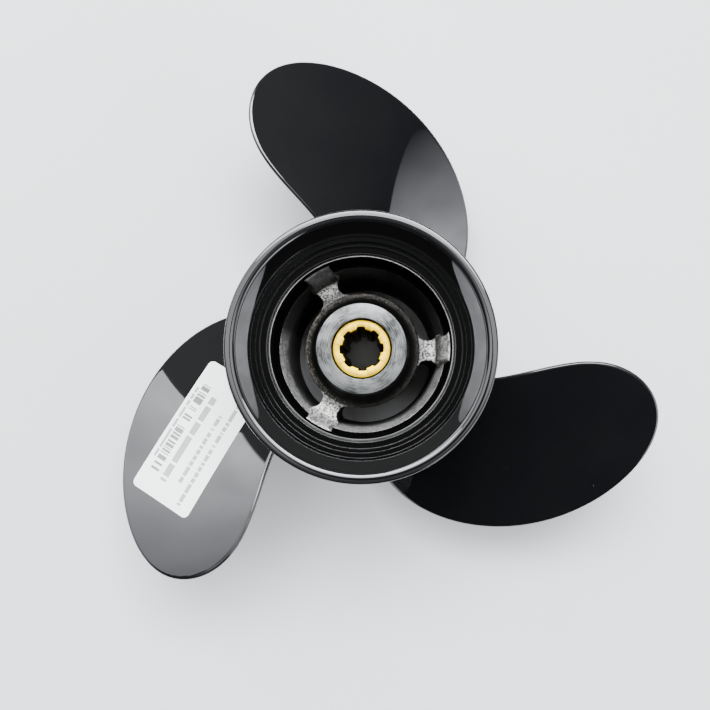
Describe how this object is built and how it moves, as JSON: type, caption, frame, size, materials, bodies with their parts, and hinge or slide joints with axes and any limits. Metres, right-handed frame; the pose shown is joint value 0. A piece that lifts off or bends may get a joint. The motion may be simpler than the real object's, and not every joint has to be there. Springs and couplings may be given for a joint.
{
  "type": "outboard motor propeller",
  "caption": "Cast aluminium propeller for a small outboard motor, with a flared through-hub exhaust barrel, a rubber bushing and a splined brass sleeve.",
  "frame": {"origin": "on the shaft's axis, in the plane of the barrel's front rim, on which the propeller stands", "axes": "+Z along the shaft's axis towards the rear, where the bell opens; one spoke lies close to +X and the blade opposite the label's points to +Y"},
  "size_m": [0.2101, 0.2046, 0.106],
  "materials": {
    "black_enamel": "gloss black enamel over cast aluminium, bare metal on the turned faces",
    "rubber": "matt black moulded rubber",
    "brass": "satin machined brass",
    "label_paper": "white satin paper label"
  },
  "bodies": {
    "root": {"propeller_casting": "black_enamel", "rubber_bushing": "rubber", "splined_sleeve": "brass", "blade_label": "label_paper"}
  },
  "joints": []
}
